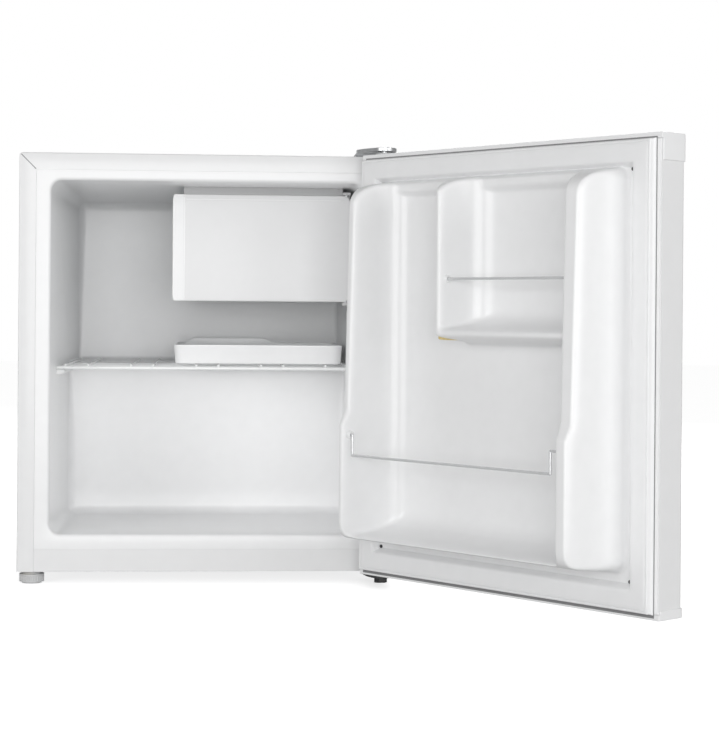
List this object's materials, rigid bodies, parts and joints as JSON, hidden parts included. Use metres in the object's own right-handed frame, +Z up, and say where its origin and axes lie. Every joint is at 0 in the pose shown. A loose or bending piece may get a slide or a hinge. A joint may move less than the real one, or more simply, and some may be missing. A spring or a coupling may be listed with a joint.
{
  "type": "mini refrigerator",
  "caption": "White table-top refrigerator with its door open, showing an ice box, a wire shelf, a drip tray and moulded door pockets with wire rails.",
  "frame": {"origin": "on the floor, in the middle of the left front foot's contact face", "axes": "+X right seen from the front, +Y from the door into the cabinet, +Z up; -Z is the feet's contact plane"},
  "size_m": [0.7015, 0.7988, 0.5138],
  "materials": {
    "white_steel": "gloss",
    "zinc_steel": "satin",
    "black_steel": "satin",
    "dark_steel": "satin",
    "white_wire": "gloss",
    "rail_wire": "gloss",
    "liner_plastic": "gloss",
    "white_plastic": "gloss",
    "grey_plastic": "satin",
    "black_plastic": "satin",
    "gasket_vinyl": "satin",
    "magnet_strip": "matte",
    "black_rubber": "matte",
    "foam": "matte",
    "ice_box_aluminium": "satin",
    "copper_tube": "satin"
  },
  "bodies": {
    "cabinet": {"outer_shell": "white_steel", "front_rail": "white_steel", "bottom_plate": "zinc_steel", "bay_panel": "zinc_steel", "back_panel": "zinc_steel", "base_pan": "zinc_steel", "inner_liner": "liner_plastic", "cabinet_foam": "foam", "rear_feet": "black_rubber", "freezer_box": "ice_box_aluminium", "freezer_hangers": "white_plastic", "freezer_frame": "white_plastic", "flap_pins": "zinc_steel", "thermostat_housing": "white_plastic", "compressor": "black_steel", "compressor_mounts": "black_rubber", "compressor_bolts": "zinc_steel", "terminal_cover": "black_plastic", "cord_inlet": "black_rubber", "condenser_tube": "black_steel", "condenser_wires": "black_steel", "condenser_clips": "black_plastic", "filter_drier": "copper_tube", "discharge_line": "copper_tube", "suction_line": "copper_tube", "capillary_line": "copper_tube", "top_hinge": "zinc_steel", "top_hinge_pin": "zinc_steel", "top_hinge_screws": "zinc_steel", "bottom_hinge": "dark_steel", "bottom_hinge_pin": "black_steel", "bottom_hinge_screws": "black_steel"},
    "door": {"door_skin": "white_steel", "door_top_cap": "white_plastic", "door_bottom_cap": "white_plastic", "door_foam": "foam", "door_liner": "liner_plastic", "door_gasket": "gasket_vinyl", "gasket_magnets": "magnet_strip", "top_bush": "grey_plastic", "bottom_bush": "grey_plastic", "upper_rail": "rail_wire"},
    "lower_rail": {"lower_rail": "rail_wire"},
    "flap": {"freezer_flap": "white_plastic"},
    "shelf": {"wire_shelf": "white_wire"},
    "tray": {"drip_tray": "liner_plastic"},
    "knob": {"thermostat_knob": "white_plastic"},
    "left_foot": {"front_left_foot": "grey_plastic"},
    "right_foot": {"front_right_foot": "black_plastic"}
  },
  "joints": [
    {"name": "door_hinge", "type": "hinge", "parent": "cabinet", "child": "door", "pos_m": [0.409, -0.0495, 0.26], "axis": [0, 0, 1], "range_deg": [-128, 7]},
    {"name": "flap_hinge", "type": "hinge", "parent": "cabinet", "child": "flap", "pos_m": [0.371, 0.047, 0.3975], "axis": [0, 0, 1], "range_deg": [0, 78]},
    {"name": "shelf_slide", "type": "slide", "parent": "cabinet", "child": "shelf", "axis": [0, -1, 0], "range_m": [0, 0.09]},
    {"name": "tray_slide", "type": "slide", "parent": "shelf", "child": "tray", "axis": [0, -1, 0], "range_m": [0, 0.085]},
    {"name": "thermostat_turn", "type": "hinge", "parent": "cabinet", "child": "knob", "pos_m": [0.3787, 0.08, 0.312], "axis": [-1, 0, 0], "range_deg": [0, 270]},
    {"name": "lower_rail_swing", "type": "hinge", "parent": "door", "child": "lower_rail", "pos_m": [0.36724, -0.14304, 0.184], "axis": [-0.6157, 0.788, 0], "range_deg": [-25, 90]},
    {"name": "left_foot_turn", "type": "hinge", "parent": "cabinet", "child": "left_foot", "pos_m": [0, 0, 0.01], "axis": [0, 0, 1], "continuous": true},
    {"name": "right_foot_turn", "type": "hinge", "parent": "cabinet", "child": "right_foot", "pos_m": [0.41, -0.008, 0.01], "axis": [0, 0, 1], "continuous": true}
  ]
}
